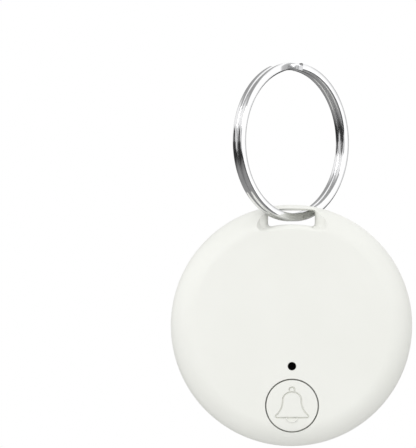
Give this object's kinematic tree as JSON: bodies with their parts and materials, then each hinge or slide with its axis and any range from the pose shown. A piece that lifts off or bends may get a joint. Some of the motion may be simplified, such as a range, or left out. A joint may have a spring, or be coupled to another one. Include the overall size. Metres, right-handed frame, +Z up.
{
  "type": "bluetooth tracker tag",
  "caption": "Round tracker tag with a push button, a sound port and a quarter-turn coin-cell door, hanging from a split key ring through a slot in its edge.",
  "frame": {"origin": "highest point of the inside of the split ring, where a hook or another ring carries it", "axes": "+Z up along the hanging direction; the tag's front face, with its button, looks along -Y; +X is to the right seen from the front"},
  "size_m": [0.038, 0.019, 0.0603],
  "materials": {
    "housing": "satin, warm white",
    "rear_housing": "satin, warm white",
    "door": "satin, warm white",
    "button": "satin, warm white",
    "ring": "nickel plated spring steel",
    "door_seal": "black rubber",
    "silicone": "translucent silicone",
    "mesh": "fine black woven mesh",
    "adhesive": "adhesive foam tape",
    "foam": "black foam tape",
    "brass_plate": "rolled brass",
    "ceramic": "silvered ceramic",
    "contact_gold": "gold plated spring",
    "board": "green solder mask",
    "screws": "zinc plated",
    "chip": "moulded black epoxy",
    "crystal_can": "pressed metal lid",
    "antenna": "pale ceramic",
    "ferrite": "grey ferrite",
    "capacitors": "tan ceramic with tinned ends",
    "switch_base": "black moulded",
    "switch_cover": "pressed steel",
    "plunger": "black moulded",
    "cell_steel": "nickel plated steel",
    "cell_gasket": "moulded polypropylene",
    "lithium": "pressed lithium foil",
    "separator": "white felt",
    "cathode": "pressed black powder",
    "contact_steel": "nickel plated spring steel"
  },
  "bodies": {
    "ring": {"split_ring": "ring"},
    "tag": {"front_shell": "housing", "rear_shell": "rear_housing", "button_gasket": "silicone", "port_mesh": "mesh", "port_adhesive": "adhesive", "piezo_foam_ring": "foam", "piezo_plate": "brass_plate", "piezo_ceramic": "ceramic", "buzzer_contact_1": "contact_gold", "buzzer_contact_2": "contact_gold", "pcb": "board", "pcb_screw_1": "screws", "pcb_screw_2": "screws", "pcb_screw_3": "screws", "ble_chip": "chip", "crystal_main": "crystal_can", "crystal_clock": "crystal_can", "antenna_chip": "antenna", "inductor": "ferrite", "capacitor_1": "capacitors", "capacitor_2": "capacitors", "capacitor_3": "capacitors", "capacitor_4": "capacitors", "switch_base": "switch_base", "switch_cover": "switch_cover", "switch_dome": "switch_cover", "cell_can": "cell_steel", "cell_cap": "cell_steel", "cell_gasket": "cell_gasket", "cell_anode": "lithium", "cell_separator": "separator", "cell_cathode": "cathode", "positive_contact": "contact_steel", "negative_contact": "contact_steel"},
    "button": {"button_cap": "button"},
    "switch_plunger": {"switch_plunger": "plunger"},
    "door_seal": {"door_seal": "door_seal"},
    "battery_door": {"battery_door": "door"}
  },
  "joints": [
    {"name": "tag_swivel", "type": "hinge", "parent": "ring", "child": "tag", "pos_m": [0, 0, -0.0235], "axis": [0, 0, 1], "range_deg": [-88, 0]},
    {"name": "button_press", "type": "slide", "parent": "tag", "child": "button", "axis": [0, 1, 0], "range_m": [0, 0.00025], "stiffness_N_per_m": 6000},
    {"name": "switch_plunger_slide", "type": "slide", "parent": "tag", "child": "switch_plunger", "axis": [0, 1, 0], "range_m": [0, 0.00025], "deforming": ["switch_dome"]},
    {"name": "battery_door_lift", "type": "slide", "parent": "tag", "child": "door_seal", "axis": [0, 1, 0], "range_m": [0, 0.0024]},
    {"name": "battery_door_twist", "type": "hinge", "parent": "door_seal", "child": "battery_door", "pos_m": [0, 0, -0.0401], "axis": [0, 1, 0], "range_deg": [0, 90]}
  ],
  "couplings": [
    {"joint": "switch_plunger_slide", "follows": "button_press", "ratio": 1},
    {"joint": "battery_door_twist", "follows": "battery_door_lift", "rad_per_m": 654.5}
  ]
}
